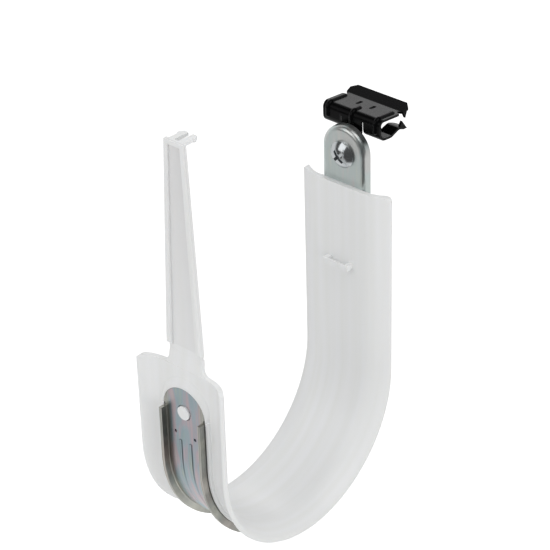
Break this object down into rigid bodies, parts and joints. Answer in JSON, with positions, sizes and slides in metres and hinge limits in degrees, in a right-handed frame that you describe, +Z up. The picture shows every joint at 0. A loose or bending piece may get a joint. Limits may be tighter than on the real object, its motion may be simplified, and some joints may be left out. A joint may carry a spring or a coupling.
{
  "type": "j hook cable support",
  "caption": "J-shaped cable hook: a wide white moulded saddle on a steel strap, with a long fold-over retainer and a black spring clip that hangs it from a beam flange.",
  "frame": {"origin": "centre of the half round that the cables lie in, midway across the saddle's width", "axes": "+X along the cables, +Y from the open arm towards the back, +Z up"},
  "size_m": [0.0532, 0.1469, 0.2267],
  "materials": {
    "zinc_steel": "satin zinc plate with a faint passivated sheen",
    "white_nylon": "smooth satin moulding",
    "black_steel": "satin black phosphate",
    "bright_steel": "bright zinc plate"
  },
  "bodies": {
    "hook": {"steel_frame": "zinc_steel", "saddle": "white_nylon", "beam_clip": "black_steel", "screw": "bright_steel", "nut": "bright_steel"},
    "retainer_arm": {"retainer": "white_nylon"}
  },
  "joints": [
    {"name": "retainer_fold", "type": "hinge", "parent": "hook", "child": "retainer_arm", "pos_m": [0, -0.05375, 0.0589], "axis": [-1, 0, 0], "range_deg": [0, 90], "stiffness_Nm_per_rad": 0.03}
  ]
}
